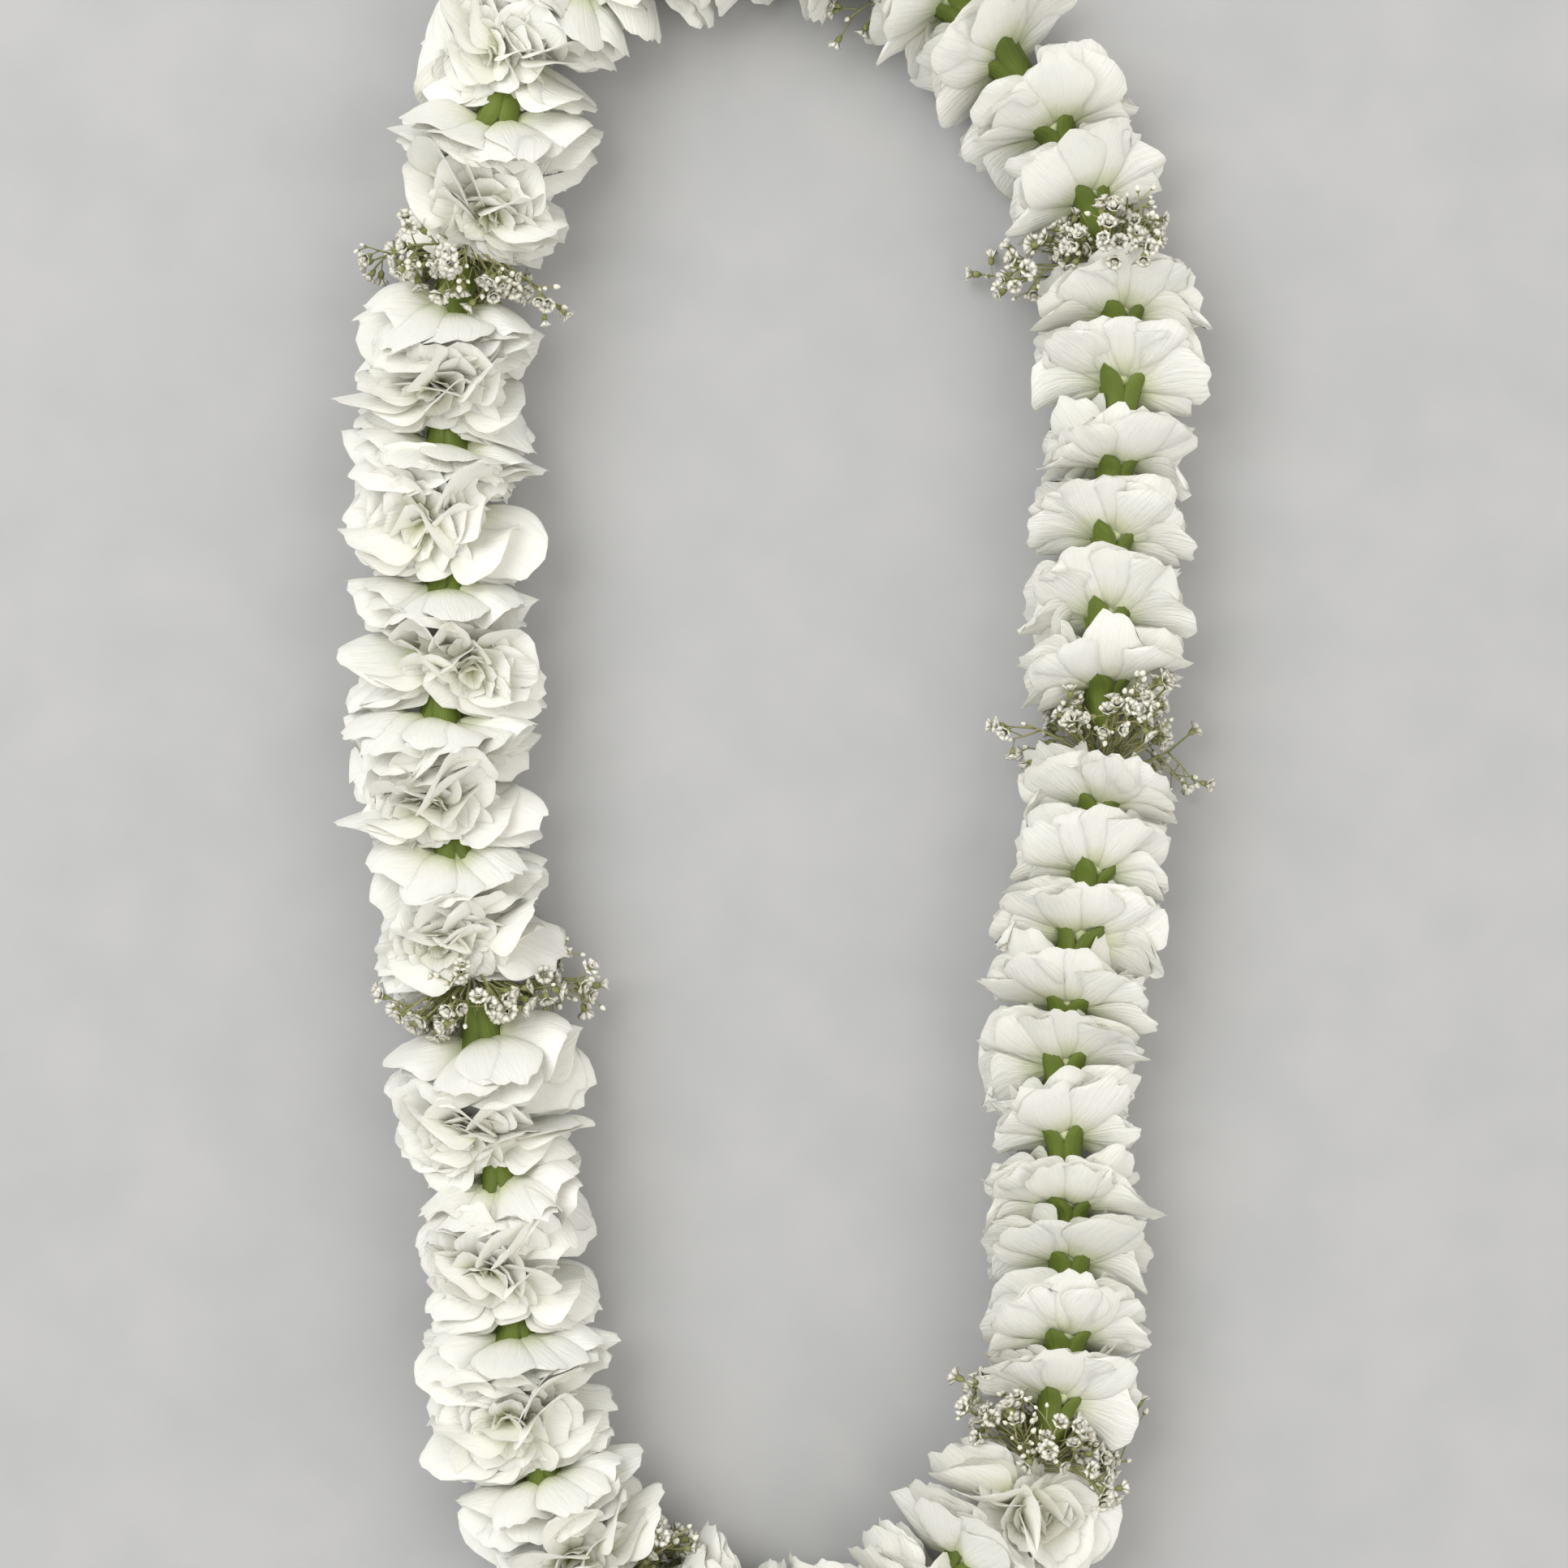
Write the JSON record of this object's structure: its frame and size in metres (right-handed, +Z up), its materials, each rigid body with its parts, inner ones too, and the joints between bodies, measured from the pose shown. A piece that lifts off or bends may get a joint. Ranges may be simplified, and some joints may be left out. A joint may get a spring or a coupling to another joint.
{
  "type": "fresh flower lei",
  "caption": "Closed garland of double white stock florets strung face to calyx on a thread, with bands of baby's breath, laid flat in a long oval; worn round the neck.",
  "frame": {"origin": "the middle of the lei's outline in plan, on the table that it lies on", "axes": "+Y along the oval, +X across it, +Z up from the table; the florets face -Y down the -X side and +Y up the +X side"},
  "size_m": [0.2143, 0.4634, 0.0427],
  "materials": {
    "petals": "satin",
    "calyces": "satin",
    "baby_breath": "matte",
    "thread": "matte"
  },
  "bodies": {
    "root": {"petals_01": "petals", "petals_02": "petals", "petals_03": "petals", "petals_04": "petals", "petals_05": "petals", "petals_06": "petals", "petals_07": "petals", "petals_08": "petals", "petals_09": "petals", "petals_10": "petals", "petals_11": "petals", "petals_12": "petals", "petals_13": "petals", "petals_14": "petals", "petals_15": "petals", "petals_16": "petals", "petals_17": "petals", "petals_18": "petals", "petals_19": "petals", "petals_20": "petals", "petals_21": "petals", "petals_22": "petals", "petals_23": "petals", "petals_24": "petals", "petals_25": "petals", "petals_26": "petals", "calyces_01": "calyces", "calyces_02": "calyces", "calyces_03": "calyces", "calyces_04": "calyces", "calyces_05": "calyces", "calyces_06": "calyces", "calyces_07": "calyces", "calyces_08": "calyces", "calyces_09": "calyces", "calyces_10": "calyces", "calyces_11": "calyces", "calyces_12": "calyces", "calyces_13": "calyces", "calyces_14": "calyces", "calyces_15": "calyces", "calyces_16": "calyces", "calyces_17": "calyces", "calyces_18": "calyces", "calyces_19": "calyces", "calyces_20": "calyces", "calyces_21": "calyces", "calyces_22": "calyces", "calyces_23": "calyces", "calyces_24": "calyces", "calyces_25": "calyces", "calyces_26": "calyces", "baby_breath_01": "baby_breath", "baby_breath_02": "baby_breath", "baby_breath_03": "baby_breath", "baby_breath_04": "baby_breath", "baby_breath_05": "baby_breath", "baby_breath_06": "baby_breath", "baby_breath_07": "baby_breath", "thread": "thread"}
  },
  "joints": []
}
